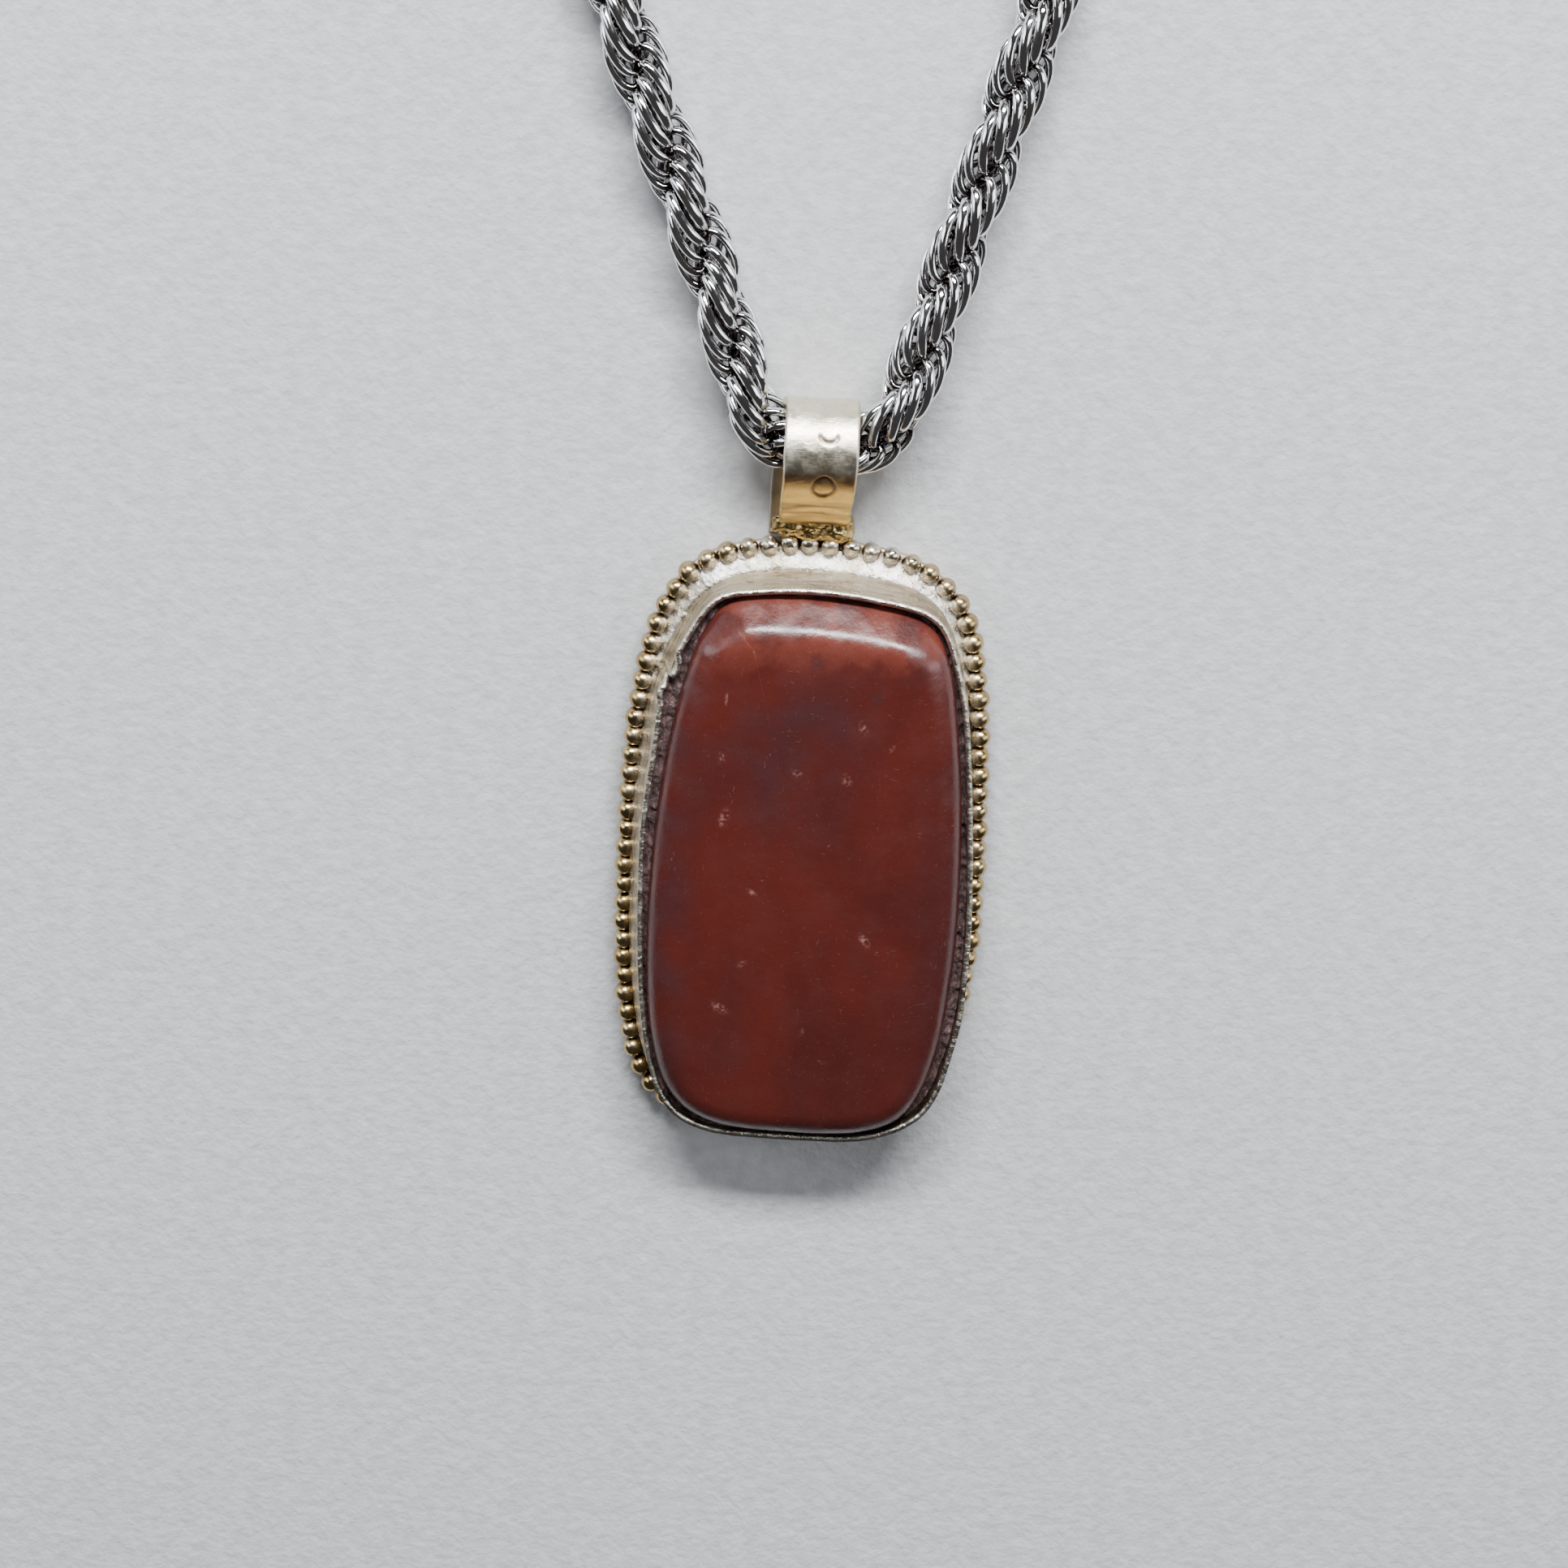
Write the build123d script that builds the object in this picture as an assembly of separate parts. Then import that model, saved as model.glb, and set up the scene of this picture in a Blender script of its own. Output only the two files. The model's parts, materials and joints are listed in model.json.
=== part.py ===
from build123d import *
import math
import os

# Pendant necklace: a collet-set stone with a folded bail on a thick rope chain.
# The pendant lies on its back plate at z = 0, +X to its right, +Y towards the chain, +Z out of
# its face. The origin is under the middle of the pendant. Millimetres throughout.

# ---- pendant body ----
PLATE_T = 0.8            # back plate
PLATE_MARGIN = 1.6       # how far the plate stands out past the bezel, under the beads
BEZEL_T = 0.5            # sheet that the bezel is bent from
BEZEL_TOP = 6.2
NOTCH_AT = (-11.3, 10.0)  # tear in the bezel's rim, upper left
NOTCH_W = 1.8
NOTCH_DEPTH = 1.4
BEAD_R = 0.78
BEAD_PITCH = 1.66
BEAD_SINK = 0.08         # soldered beads sink this far into plate and wall
BED_TOP = 5.0            # packing between stone and bezel
BED_GAP = 0.02           # between the packing and the stone's side
STONE_BOTTOM = 1.5
STONE_TOP = 8.4
STONE_SHOULDER = 2.2

# Three closed outlines, anticlockwise from the right-hand side: straight-sided, round-cornered,
# narrower across the top. EDGE is where the beads' inner sides run, WALL the bezel's outer face,
# which stands back from the beads along the top and upper left, and STONE the stone's side.
EDGE = [
    (13.7, -9.0), (13.5, -1.0), (13.1, 6.0), (12.2, 11.8), (10.4, 15.6), (6.8, 18.05), (0.5, 19.0),
    (-5.1, 18.65), (-9.1, 17.1), (-11.6, 13.6), (-12.7, 9.5), (-13.45, 4.0), (-13.8, -4.5),
    (-13.7, -13.5), (-13.1, -21.5), (-11.4, -27.0), (-7.0, -30.2), (0.0, -30.9), (6.6, -30.1),
    (10.5, -26.8), (12.5, -21.5), (13.5, -16.0),
]
WALL = [
    (13.65, -9.0), (13.4, -1.0), (12.9, 6.0), (11.7, 11.6), (9.7, 15.2), (6.2, 17.0), (0.3, 17.7),
    (-4.8, 17.4), (-8.3, 16.1), (-10.6, 12.7), (-11.8, 8.7), (-12.9, 3.2), (-13.6, -4.5),
    (-13.6, -13.5), (-13.0, -21.5), (-11.3, -27.0), (-7.0, -30.1), (0.0, -30.8), (6.6, -30.0),
    (10.4, -26.7), (12.4, -21.5), (13.45, -16.0),
]
STONE = [
    (12.4, -9.0), (12.2, -1.0), (11.6, 6.0), (10.7, 11.4), (8.7, 14.8), (5.5, 16.2), (-1.0, 16.8),
    (-6.4, 16.1), (-8.8, 13.6), (-10.2, 9.0), (-11.4, 3.0), (-12.0, -5.0), (-12.1, -14.0),
    (-11.6, -21.5), (-9.9, -26.6), (-6.3, -29.1), (0.0, -29.7), (6.0, -29.0), (9.3, -26.0),
    (11.2, -21.3), (12.2, -15.5),
]

# ---- bail ----
BAIL_X = -0.4            # middle of the bail
BAIL_W = 5.9
BAIL_T = 0.7
BAIL_INNER_R = 3.2       # room for the curved chain to turn in
BAIL_TOP_Y = 32.5
BAIL_LEAVE = 45          # degrees past the top where the front leg leaves the round
BAIL_FOOT_Z = 2.0        # height of the front leg's end
SOLDER_LOW = (-4.0, 17.6, 0.6)
SOLDER_HIGH = (3.0, 22.6, 2.3)
SOLDER_ROUND = 0.7

bail_outer_r = BAIL_INNER_R + BAIL_T
bail_y = BAIL_TOP_Y - bail_outer_r
bail_z = bail_outer_r

# ---- rope chain ----
CHAIN_D = 5.0
PITCH = 5.5              # centre to centre of neighbouring turns of the coil
COIL_R = 27.0            # outermost turn
COIL_C1 = (0.6, 110.6)   # centre of the coil's northern halves
COIL_C2 = (COIL_C1[0] + PITCH, COIL_C1[1])  # centre of its southern halves
RIGHT_JOINS = -102       # degrees round C2 where the right strand joins the coil
RIGHT_ENDS = -105        # degrees round C2 where the right strand's innermost turn ends

# The strands' routes outward from the bail's middle, up to where each joins the coil.
LEFT_ROUTE = [
    (-3.2, 28.6, 3.9), (-5.7, 30.2, 3.9), (-7.2, 33.0, 3.7), (-8.6, 37.0, 3.2), (-11.6, 44.7, 2.7),
    (-16.3, 57.2, 2.5), (-20.6, 70.6, 2.5), (-23.9, 84.4, 2.5), (-25.9, 98.0, 2.5),
    (-26.4, 110.6, 2.5),
]
RIGHT_ROUTE = [
    (2.4, 28.6, 3.9), (4.7, 30.2, 3.9), (6.1, 33.0, 3.7), (7.3, 37.0, 3.2), (9.4, 44.8, 2.7),
    (13.0, 57.4, 2.5), (16.2, 68.8, 2.5), (13.95, 76.9, 2.5), (7.85, 82.65, 2.5), (0.5, 84.2, 2.5),
]

# ---- end caps, rings and clasp ----
CAP_R = 2.95
CAP_START = 1.2          # from the rope's free end of the coil to the cap's mouth
CAP_END = 7.6
CAP_NOSE = 2.0           # solid length at the cap's closed end
CAP_NOSE_R = 1.2
STUB_BACK = 0.4          # how far a rope end reaches back into the coil
CAP_LOOP_AT = 8.9        # along the cap's axis
LOOP_HOLE_R = 0.95
LOOP_R = 1.75
LOOP_T = 0.9
JUMP_R = 2.25            # to the middle of the wire
JUMP_WIRE_R = 0.45
CATCH_R = 2.7
CATCH_WIRE_R = 0.5
LEFT_CAP_TURN = 60       # degrees anticlockwise from +X that the left cap points
RIGHT_CAP_TURN = 140
JUMP_TURN = 15           # the same for the jump ring, the catch ring and the clasp
CATCH_TURN = 120
CLASP_TURN = -10
CLASP_T = 3.0
CLASP_DROP = 32          # degrees below the ring's middle where the clasp's eye hangs
EYE_R = 2.15
EYE_HOLE_R = 1.35
EYE_T = 1.0
HOOK_C = 8.0             # middle of the hook, from the eye
HOOK_A = 5.4
HOOK_B = 3.7
MOUTH_C = (8.6, 0.3)
MOUTH_A = 3.5
MOUTH_B = 1.9
GATE_FROM = 6.2
GATE_TO = 10.9
GATE_TOP = -0.7
GATE_GAP = 0.15
GATE_INSET = 0.25        # the gate is this much thinner than the hook, on each face
GATE_TIP_GAP = 0.35      # the gate's tip swings out a little before it swings in
PIVOT = (4.6, -1.6)
PIN_R = 0.4
PIN_CLEAR = 0.05
PIN_SHORT = 0.2          # the pin stops short of the hook's faces by this much in all
HUB_R = 1.1
ARM_OVERLAP = 0.8        # how far the lever's arm runs on under the gate
THUMB_Y = (-5.2, -4.3)   # outer and inner side of the thumb tab
THUMB_INSET = 0.4
HOOK_EDGE_R = 0.6
SLOT_START = 3.0         # the slot's blind end, measured from the eye
SLOT_TOP = 0.4
NECK = (1.7, 3.4)        # the neck between eye and hook, along the clasp
NECK_HALF_W = 1.2
SLOT_LOW = 0.8
SLOT_HIGH = 2.2
LEVER_LOW = 0.88
LEVER_HIGH = 1.75
SPRING_R = 0.8
SPRING_WIRE_R = 0.16


def outline_face(points, out):
    """An outline moved out by this much (in, where negative), as a face at z = 0."""
    count = len(points)
    moved = []
    for i, (x, y) in enumerate(points):
        (ax, ay), (bx, by) = points[i - 1], points[(i + 1) % count]
        length = math.hypot(bx - ax, by - ay)
        moved.append((x + out * (by - ay) / length, y - out * (bx - ax) / length))
    return make_face(Spline(*moved, periodic=True))


def slab(points, out, low, high):
    """A moved outline, filled from one height to another."""
    return Pos(0, 0, low) * extrude(outline_face(points, out), high - low)


def back_plate():
    return slab(EDGE, PLATE_MARGIN, 0, PLATE_T)


def bezel_strip():
    """The upright strip around the stone, with the tear in its rim."""
    wall = slab(WALL, 0, PLATE_T, BEZEL_TOP) - slab(WALL, -BEZEL_T, PLATE_T, BEZEL_TOP)
    tear = Pos(*NOTCH_AT, BEZEL_TOP) * Box(3, NOTCH_W, 2 * NOTCH_DEPTH)
    return wall - tear


def bead_border():
    """Small balls soldered round the foot of the bezel, on the plate's margin."""
    path = outline_face(EDGE, BEAD_R - BEAD_SINK).face().outer_wire()
    count = round(path.length / BEAD_PITCH)
    height = PLATE_T + BEAD_R - BEAD_SINK
    ball = Sphere(BEAD_R)
    spots = [path @ (i / count) for i in range(count)]
    return Compound([Pos(spot.X, spot.Y, height) * ball.solid() for spot in spots])


def stone():
    """A pillow-shaped slab with rounded shoulders."""
    block = slab(STONE, 0, STONE_BOTTOM, STONE_TOP)
    top = block.edges().group_by(Axis.Z)[-1]
    return fillet(top, STONE_SHOULDER)


def stone_bedding():
    """The packing under the stone and between it and the bezel."""
    return slab(WALL, -BEZEL_T, PLATE_T, BED_TOP) - slab(STONE, BED_GAP, STONE_BOTTOM, BED_TOP + 1)


def bail_side(radius, foot_y):
    """One face of the folded strip, seen from the side: back leg, round, front leg (y, z)."""
    leave = math.radians(BAIL_LEAVE)
    y = bail_y - radius * math.sin(leave)
    z = bail_z + radius * math.cos(leave)
    run = (z - BAIL_FOOT_Z) / math.sin(leave)
    end = (y - run * math.cos(leave), BAIL_FOOT_Z)
    low = bail_z - radius
    far = (bail_y + radius, bail_z)
    round_part = ThreePointArc((bail_y, low), far, (bail_y, bail_z + radius))
    round_on = RadiusArc((bail_y, bail_z + radius), (y, z), -radius)
    return [Line((foot_y, low), (bail_y, low)), round_part, round_on, Line((y, z), end)], end


def bail_strip():
    """The strip folded over the chain, with its back leg butted to the plate."""
    plate_edge = back_plate().bounding_box().max.Y
    outer, outer_end = bail_side(bail_outer_r, plate_edge)
    inner, inner_end = bail_side(BAIL_INNER_R, plate_edge)
    ends = [Line((plate_edge, 0), (plate_edge, BAIL_T)), Line(outer_end, inner_end)]
    side = make_face(Curve() + outer + inner + ends)
    across = Plane(origin=(BAIL_X - BAIL_W / 2, 0, 0), x_dir=(0, 1, 0), z_dir=(1, 0, 0))
    return extrude(across * side, BAIL_W)


def bail_solder():
    """The rough lump that joins the bail's legs to the plate and the bezel."""
    low, high = Vector(*SOLDER_LOW), Vector(*SOLDER_HIGH)
    size = high - low
    lump = Pos(*(low + size / 2)) * Box(size.X, size.Y, size.Z)
    return fillet(lump.edges(), SOLDER_ROUND)


def corner_radii(points):
    """0.45 of the shorter run over the tangent of half the turn, for each corner."""
    radii = []
    for a, b, c in zip(points, points[1:], points[2:]):
        run_in, run_out = Vector(*b) - Vector(*a), Vector(*c) - Vector(*b)
        half = math.radians(run_in.get_angle(run_out)) / 2
        radii.append(0.45 * min(run_in.length, run_out.length) / math.tan(half))
    return radii


def tube(points, name):
    """A round tube of straight runs and tangent arcs through these points."""
    radii = corner_radii(points)
    path = FilletPolyline(*points, radius=radii)
    print(name, "corner radii", [round(r, 1) for r in radii], "length", round(path.length, 1))
    solid = sweep((Plane(path @ 0, z_dir=path % 0)) * Circle(CHAIN_D / 2), path)
    expected = math.pi * CHAIN_D**2 / 4 * path.length
    print(name, "volume over section times length", round(solid.volume / expected, 4))
    return solid


def arc_about(centre, radius, start, end):
    """A circular arc from one angle to another, in degrees round a centre."""
    return CenterArc((*centre, 0), radius, start, end - start)


def point_about(centre, radius, angle):
    turn = math.radians(angle)
    return (centre[0] + radius * math.cos(turn), centre[1] + radius * math.sin(turn))


def chain_coil():
    """The outer shape of the flat two-strand coil, open in the middle."""
    out, within = COIL_R + CHAIN_D / 2, COIL_R - CHAIN_D / 2 - PITCH
    outer = [
        arc_about(COIL_C1, out, 180, 0),
        arc_about(COIL_C2, out - PITCH, 0, RIGHT_JOINS),
        Line(point_about(COIL_C2, out - PITCH, RIGHT_JOINS), point_about(COIL_C2, out, RIGHT_JOINS)),
        arc_about(COIL_C2, out, RIGHT_JOINS, -180),
        Line(point_about(COIL_C2, out, -180), point_about(COIL_C1, out, 180)),
    ]
    hole = [
        arc_about(COIL_C1, within, 180, 0),
        arc_about(COIL_C2, within - PITCH, 0, RIGHT_ENDS),
        Line(point_about(COIL_C2, within - PITCH, RIGHT_ENDS), point_about(COIL_C2, within, RIGHT_ENDS)),
        arc_about(COIL_C2, within, RIGHT_ENDS, -180),
        Line(point_about(COIL_C2, within, -180), point_about(COIL_C1, within, 180)),
    ]
    ring = make_face(Curve() + outer) - make_face(Curve() + hole)
    return extrude(ring, CHAIN_D)


innermost = COIL_R - 2 * PITCH
left_end = point_about(COIL_C1, innermost, 180)
right_end = point_about(COIL_C2, innermost, RIGHT_ENDS)


def on_cap(end, turn):
    """The place of a cap: its axis starts at the rope's end and lies flat, pointing this way."""
    return Location((*end, CAP_R), (0, 0, turn))


def along_x(radius, start, end):
    standing = Cylinder(radius, end - start, align=(Align.CENTER, Align.CENTER, Align.MIN))
    return Pos(start, 0, 0) * Rot(0, 90, 0) * standing


def chain_end(end, turn):
    """The rope's last few millimetres, inside the cap."""
    return on_cap(end, turn) * along_x(CHAIN_D / 2, -STUB_BACK, CAP_END - CAP_NOSE)


def end_cap(end, turn):
    """A cup for the rope's end, with a flat loop soldered to its nose."""
    cup = along_x(CAP_R, CAP_START, CAP_END)
    cup = fillet(cup.edges().group_by(Axis.X)[-1], CAP_NOSE_R)
    loop = Pos(CAP_LOOP_AT, 0, 0) * Cylinder(LOOP_R, LOOP_T)
    hole = Pos(CAP_LOOP_AT, 0, 0) * Cylinder(LOOP_HOLE_R, 2 * LOOP_T)
    bore = along_x(CHAIN_D / 2, CAP_START - 1, CAP_END - CAP_NOSE)
    return on_cap(end, turn) * (cup + loop - hole - bore)


def step(start, turn, distance):
    angle = math.radians(turn)
    return (start[0] + distance * math.cos(angle), start[1] + distance * math.sin(angle))


left_loop = step(left_end, LEFT_CAP_TURN, CAP_LOOP_AT)
right_loop = step(right_end, RIGHT_CAP_TURN, CAP_LOOP_AT)
drop = math.radians(CLASP_DROP)
clasp_eye = step(left_loop, JUMP_TURN, JUMP_R * (1 + math.cos(drop)))


def upright_ring(loop, turn, radius, wire_r):
    """A wire ring standing on its edge through a cap's loop."""
    ring = Pos(radius, 0, radius + wire_r) * Rot(90, 0, 0) * Torus(radius, wire_r)
    return Location((*loop, 0), (0, 0, turn)) * ring


def plate(shape, low, high):
    return Pos(0, 0, low) * extrude(shape, high - low)


def box_between(x0, x1, y0, y1, z0, z1):
    return Pos((x0 + x1) / 2, (y0 + y1) / 2, (z0 + z1) / 2) * Box(x1 - x0, y1 - y0, z1 - z0)


def clasp_body():
    """The hook with its eye, and a slot for the lever. Built flat, with its eye at the origin."""
    middle = CLASP_T / 2
    hook = plate(Pos(HOOK_C, 0) * Ellipse(HOOK_A, HOOK_B), 0, CLASP_T)
    hook = fillet(hook.edges(), HOOK_EDGE_R)
    mouth = plate(Pos(*MOUTH_C) * Ellipse(MOUTH_A, MOUTH_B), -1, CLASP_T + 1)
    gap = box_between(GATE_FROM, GATE_TO, -HOOK_B - 1, GATE_TOP, -1, CLASP_T + 1)
    slot = box_between(SLOT_START, GATE_FROM + 0.1, -HOOK_B - 1, SLOT_TOP, SLOT_LOW, SLOT_HIGH)
    neck = box_between(*NECK, -NECK_HALF_W, NECK_HALF_W, middle - EYE_T / 2, middle + EYE_T / 2)
    eye = Pos(0, 0, middle) * Cylinder(EYE_R, EYE_T)
    hole = Pos(0, 0, middle) * Cylinder(EYE_HOLE_R, 2 * EYE_T)
    pin = Pos(*PIVOT, middle) * Cylinder(PIN_R, CLASP_T - PIN_SHORT)
    return hook - mouth - gap - slot + neck + eye - hole - pin


def clasp_lever():
    """The gate with its hub and thumb tab."""
    gate = Pos(HOOK_C, 0) * Ellipse(HOOK_A, HOOK_B) - Pos(*MOUTH_C) * Ellipse(MOUTH_A, MOUTH_B)
    length = GATE_TO - GATE_FROM - GATE_GAP - GATE_TIP_GAP
    reach = Rectangle(length, HOOK_B, align=(Align.MIN, Align.MAX))
    outline = gate & (Pos(GATE_FROM + GATE_GAP, GATE_TOP - GATE_GAP) * reach)
    gate = plate(outline, GATE_INSET, CLASP_T - GATE_INSET)
    x, y = PIVOT
    arm = box_between(x, GATE_FROM + ARM_OVERLAP, y - 1.0, y + 0.5, LEVER_LOW, LEVER_HIGH)
    hub = Pos(x, y, (LEVER_LOW + LEVER_HIGH) / 2) * Cylinder(HUB_R, LEVER_HIGH - LEVER_LOW)
    stem = box_between(x - 0.8, x + 0.6, THUMB_Y[0] + 0.6, y, LEVER_LOW, LEVER_HIGH)
    thumb = box_between(x - 1.0, x + 0.7, *THUMB_Y, THUMB_INSET, CLASP_T - THUMB_INSET)
    hole = Pos(*PIVOT, CLASP_T / 2) * Cylinder(PIN_R + PIN_CLEAR, CLASP_T)
    return gate + arm + hub + stem + thumb - hole


def clasp_pivot_pin():
    return Pos(*PIVOT, CLASP_T / 2) * Cylinder(PIN_R, CLASP_T - PIN_SHORT)


def clasp_spring():
    """One turn of spring wire round the pin, above the lever's hub."""
    return Pos(*PIVOT, SLOT_HIGH - SPRING_WIRE_R - 0.04) * Torus(SPRING_R, SPRING_WIRE_R)


on_clasp = Location((*clasp_eye, 0), (0, 0, CLASP_TURN))
chain_route = [*reversed(LEFT_ROUTE), *RIGHT_ROUTE]

parts = {
    "back_plate": back_plate(),
    "bezel_strip": bezel_strip(),
    "bead_border": bead_border(),
    "stone": stone(),
    "stone_bedding": stone_bedding(),
    "bail_strip": bail_strip(),
    "bail_solder": bail_solder(),
    "chain_run": tube(chain_route, "chain_run"),
    "chain_coil": chain_coil(),
    "chain_end_left": chain_end(left_end, LEFT_CAP_TURN),
    "chain_end_right": chain_end(right_end, RIGHT_CAP_TURN),
    "end_cap_left": end_cap(left_end, LEFT_CAP_TURN),
    "end_cap_right": end_cap(right_end, RIGHT_CAP_TURN),
    "clasp_jump_ring": upright_ring(left_loop, JUMP_TURN, JUMP_R, JUMP_WIRE_R),
    "end_ring": upright_ring(right_loop, CATCH_TURN, CATCH_R, CATCH_WIRE_R),
    "clasp_body": on_clasp * clasp_body(),
    "clasp_lever": on_clasp * clasp_lever(),
    "clasp_pivot_pin": on_clasp * clasp_pivot_pin(),
    "clasp_spring": on_clasp * clasp_spring(),
}

os.makedirs("parts", exist_ok=True)
for name, shape in parts.items():
    export_step(shape, f"parts/{name}.step")

turned_pivot = on_clasp * Pos(*PIVOT, 0)
print("pendant_swing at", (BAIL_X, bail_y, bail_z))
print("jump_ring_swing at", left_loop, "catch_ring_swing at", right_loop)
print("clasp_swing at", clasp_eye, "lever_pivot at", tuple(turned_pivot.position))
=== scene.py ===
import json
import math

import bpy
import numpy as np
from mathutils import Matrix, Vector, noise


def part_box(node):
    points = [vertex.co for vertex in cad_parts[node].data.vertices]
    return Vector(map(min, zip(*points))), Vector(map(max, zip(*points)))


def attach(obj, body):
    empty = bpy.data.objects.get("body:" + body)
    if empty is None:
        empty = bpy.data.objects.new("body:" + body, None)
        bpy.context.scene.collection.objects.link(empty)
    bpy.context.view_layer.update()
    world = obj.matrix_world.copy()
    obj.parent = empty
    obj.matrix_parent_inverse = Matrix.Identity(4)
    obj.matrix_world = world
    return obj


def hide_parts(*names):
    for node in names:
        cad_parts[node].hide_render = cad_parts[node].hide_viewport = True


# Pendant necklace: the looks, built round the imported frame. Lengths are in millimetres until a
# mesh is made from them, and every random draw comes from one seeded generator.
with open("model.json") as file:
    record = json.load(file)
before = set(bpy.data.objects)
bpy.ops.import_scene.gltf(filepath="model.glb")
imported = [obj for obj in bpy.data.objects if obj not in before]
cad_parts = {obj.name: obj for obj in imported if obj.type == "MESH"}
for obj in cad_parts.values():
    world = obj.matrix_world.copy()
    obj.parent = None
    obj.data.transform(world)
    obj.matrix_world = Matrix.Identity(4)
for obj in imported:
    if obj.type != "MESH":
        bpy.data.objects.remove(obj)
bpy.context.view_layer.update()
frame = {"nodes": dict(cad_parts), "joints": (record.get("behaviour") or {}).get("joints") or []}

MM = 0.001
rng = np.random.default_rng(11)


def corners(node):
    """The lowest and highest corner of a CAD node, in millimetres."""
    low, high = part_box(node)
    return np.array(low) / MM, np.array(high) / MM


joints = {joint["name"]: joint for joint in frame["joints"]}
bail_axis = np.array(joints["pendant_swing"]["pos_m"]) / MM
plate_top = corners("back_plate")[1][2]
rim_top = corners("bezel_strip")[1][2]
stone_bottom, stone_top = corners("stone")[0][2], corners("stone")[1][2]
solder_low, solder_high = corners("bail_solder")
bail_high = corners("bail_strip")[1]


# ---------------------------------------------------------------- camera

CAMERA_AT = (-9.1, 138.4, 374.7)
CAMERA_AIM = (-1.75, -1.5, 0.0)
CAMERA_ROLL = 3.0        # degrees that the picture's up direction leans towards -X
CAMERA_LENS = 111.8


def add_camera():
    """Looks down on the pendant from the chain's side."""
    data = bpy.data.cameras.new("camera")
    data.lens = CAMERA_LENS
    data.clip_start, data.clip_end = 0.01, 10
    camera = bpy.data.objects.new("camera", data)
    bpy.context.scene.collection.objects.link(camera)
    back = (Vector(CAMERA_AT) - Vector(CAMERA_AIM)).normalized()
    roll = math.radians(CAMERA_ROLL)
    right = Vector((math.cos(roll), math.sin(roll), 0))
    right = (right - right.dot(back) * back).normalized()
    up = back.cross(right)
    turn = Matrix((right, up, back)).transposed().to_4x4()
    camera.matrix_world = Matrix.Translation(Vector(CAMERA_AT) * MM) @ turn
    bpy.context.scene.camera = camera


add_camera()


# ---------------------------------------------------------------- meshes

def mesh_piece(name, points, faces, material, body="pendant"):
    """A smooth mesh from points in millimetres, riding on a body."""
    mesh = bpy.data.meshes.new(name)
    mesh.from_pydata((np.asarray(points, float) * MM).tolist(), [], faces)
    mesh.polygons.foreach_set("use_smooth", [True] * len(mesh.polygons))
    piece = bpy.data.objects.new(name, mesh)
    bpy.context.scene.collection.objects.link(piece)
    mesh.materials.append(material)
    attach(piece, body)
    return piece


def paint(piece, name, values):
    """A number at every point, which the piece's material reads by this name."""
    attribute = piece.data.attributes.new(name, "FLOAT", "POINT")
    attribute.data.foreach_set("value", np.clip(values, 0, 1).astype(np.float32))


def grid_faces(rows, columns, close_rows=False):
    """Quads over rows of points. Each row is a ring, and the last can be joined to the first."""
    faces = []
    for r in range(rows if close_rows else rows - 1):
        for c in range(columns):
            a, b = r * columns, (r + 1) % rows * columns
            d = (c + 1) % columns
            faces.append((a + c, a + d, b + d, b + c))
    return faces


def ball_mesh(rows, sides):
    """Points and faces of a ball of radius 1, with one point at each pole."""
    lat = np.linspace(0, math.pi, rows)[1:-1]
    lon = np.arange(sides) / sides * 2 * math.pi
    rings = np.stack([np.outer(np.sin(lat), np.cos(lon)), np.outer(np.sin(lat), np.sin(lon)),
                      np.outer(np.cos(lat), np.ones(sides))], axis=-1).reshape(-1, 3)
    points = np.concatenate([[(0, 0, 1)], rings, [(0, 0, -1)]])
    faces = [tuple(1 + k for k in face) for face in grid_faces(rows - 2, sides)]
    last = len(points) - 1
    for c in range(sides):
        d = (c + 1) % sides
        faces += [(0, 1 + d, 1 + c), (last - sides + c, last - sides + d, last)]
    return points, faces


def loft(name, rings, material, close=False, cap_first=False, cap_last=False):
    """A skin over rings of points. close joins the last ring to the first."""
    rings = np.array(rings)
    rows, columns = rings.shape[:2]
    faces = grid_faces(rows, columns, close_rows=close)
    if cap_first:
        faces.append(tuple(range(columns))[::-1])
    if cap_last:
        faces.append(tuple((rows - 1) * columns + c for c in range(columns)))
    return mesh_piece(name, rings.reshape(-1, 3), faces, material)


def closed_curve(points, at):
    """Points on the smooth closed curve through these points; at counts in points."""
    p, count = np.array(points, float), len(points)
    i = np.floor(at).astype(int)
    f = (at - i)[:, None]
    a, b, c, d = (p[(i + k) % count] for k in (-1, 0, 1, 2))
    return 0.5 * (2 * b + (c - a) * f + (2 * a - 5 * b + 4 * c - d) * f**2 + (3 * b - a - 3 * c + d) * f**3)


def even_places(points, count):
    """Places evenly spaced round a closed curve, counted in its points."""
    fine = np.linspace(0, len(points), 4000)
    line = closed_curve(points, fine)
    along = np.concatenate([[0], np.cumsum(np.linalg.norm(np.diff(line, axis=0), axis=1))])
    return np.interp(np.arange(count) / count * along[-1], along, fine)


def moved_out(outline, out):
    """A closed outline moved outward by this much, one number or one for each point."""
    run = np.roll(outline, -1, axis=0) - np.roll(outline, 1, axis=0)
    run /= np.linalg.norm(run, axis=1)[:, None]
    return outline + np.stack([run[:, 1], -run[:, 0]], axis=1) * np.reshape(out, (-1, 1))


def at_height(outline, z):
    """An outline as a ring of points at one height, or at a height for each point."""
    return np.column_stack([outline, np.broadcast_to(z, len(outline))])


def lumps(points, size, seed):
    """Smooth noise, about -1 to 1, whose features are this many millimetres across."""
    shift = Vector((7.3, 3.1, 5.7)) * seed
    return np.array([noise.noise(Vector(p) / size + shift) for p in np.asarray(points, float)])


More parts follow.
